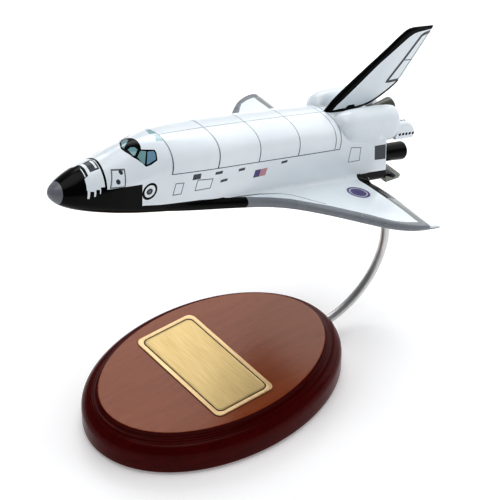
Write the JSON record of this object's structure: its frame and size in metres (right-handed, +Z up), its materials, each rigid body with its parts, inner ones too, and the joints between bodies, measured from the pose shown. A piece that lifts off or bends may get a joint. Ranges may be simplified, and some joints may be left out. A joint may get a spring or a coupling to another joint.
{
  "type": "space shuttle display model",
  "caption": "Desk model of a winged space orbiter, nose up on one bent chrome rod over an oval lacquered wooden base with a blank brass plate.",
  "frame": {"origin": "centre of the base's underside, on the felt pad", "axes": "+X towards the orbiter's nose, +Y to its left, +Z up"},
  "size_m": [0.3922, 0.236, 0.3093],
  "materials": {
    "base_wood": "red-brown stain under gloss lacquer",
    "felt_pad": "pressed felt",
    "brass_plate": "satin, with a thin engraved border",
    "rod_chrome": "polished plating",
    "body_lacquer": "white gloss lacquer over carved wood, with painted black and grey areas",
    "nozzle_black": "black gloss paint",
    "flap_grey": "dark grey gloss paint"
  },
  "bodies": {
    "root": {"base": "base_wood", "base_felt": "felt_pad", "plaque": "brass_plate", "stand_rod": "rod_chrome", "fuselage": "body_lacquer", "fin": "body_lacquer", "wing_left": "body_lacquer", "wing_right": "body_lacquer", "engine_pod_left": "body_lacquer", "engine_pod_right": "body_lacquer", "thruster_housing_left": "body_lacquer", "thruster_housing_right": "body_lacquer", "main_nozzle_upper": "nozzle_black", "main_nozzle_left": "nozzle_black", "main_nozzle_right": "nozzle_black", "small_nozzle_left": "nozzle_black", "small_nozzle_right": "nozzle_black", "body_flap": "flap_grey"}
  },
  "joints": []
}
